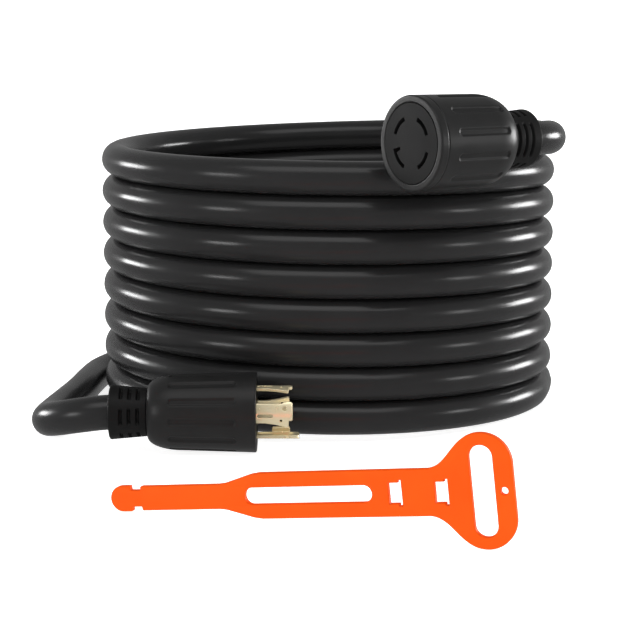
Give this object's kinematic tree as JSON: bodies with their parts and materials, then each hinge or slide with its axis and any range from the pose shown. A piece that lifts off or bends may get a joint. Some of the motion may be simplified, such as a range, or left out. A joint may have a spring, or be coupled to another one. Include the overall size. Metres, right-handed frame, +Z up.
{
  "type": "shore power cord",
  "caption": "Coiled four-core shore power cord with a locking plug at one end, a locking connector at the other, and a moulded cable strap.",
  "frame": {"origin": "middle of the footprint, on the floor that the coil, the plug and the strap stand on", "axes": "+Z up along the coil's axis, +X the way the plug's blades point, +Y from the strap towards the back of the coil"},
  "size_m": [0.2878, 0.4704, 0.1801],
  "materials": {
    "jacket_rubber": "glossy black cord jacket",
    "relief_black": "matte black moulded rubber",
    "shell_black": "satin black moulded vinyl",
    "insulator_black": "fine satin black",
    "brass": "bright stamped brass",
    "copper": "bare stranded copper",
    "wire_black": "smooth vinyl",
    "wire_white": "smooth vinyl",
    "wire_red": "smooth vinyl",
    "wire_green": "smooth vinyl",
    "strap_orange": "satin orange moulded polyurethane"
  },
  "bodies": {
    "cord_set": {"cord_coil": "jacket_rubber", "plug_tail": "jacket_rubber", "connector_tail": "jacket_rubber", "plug_shell": "shell_black", "plug_strain_relief": "relief_black", "plug_face": "insulator_black", "plug_core": "insulator_black", "plug_blade_hot_x": "brass", "plug_blade_neutral": "brass", "plug_blade_hot_y": "brass", "plug_blade_ground": "brass", "plug_wire_hot_x": "wire_black", "plug_strands_hot_x": "copper", "plug_wire_neutral": "wire_white", "plug_strands_neutral": "copper", "plug_wire_hot_y": "wire_red", "plug_strands_hot_y": "copper", "plug_wire_ground": "wire_green", "plug_strands_ground": "copper", "connector_shell": "shell_black", "connector_strain_relief": "relief_black", "connector_face": "insulator_black", "connector_carrier": "insulator_black", "connector_contact_hot_x": "brass", "connector_contact_neutral": "brass", "connector_contact_hot_y": "brass", "connector_contact_ground": "brass", "connector_wire_hot_x": "wire_black", "connector_strands_hot_x": "copper", "connector_wire_neutral": "wire_white", "connector_strands_neutral": "copper", "connector_wire_hot_y": "wire_red", "connector_strands_hot_y": "copper", "connector_wire_ground": "wire_green", "connector_strands_ground": "copper"},
    "strap": {"strap": "strap_orange"}
  },
  "joints": [
    {"name": "strap_lift", "type": "slide", "parent": "cord_set", "child": "strap", "axis": [0, 0, 1], "range_m": [0, 0.1]}
  ]
}
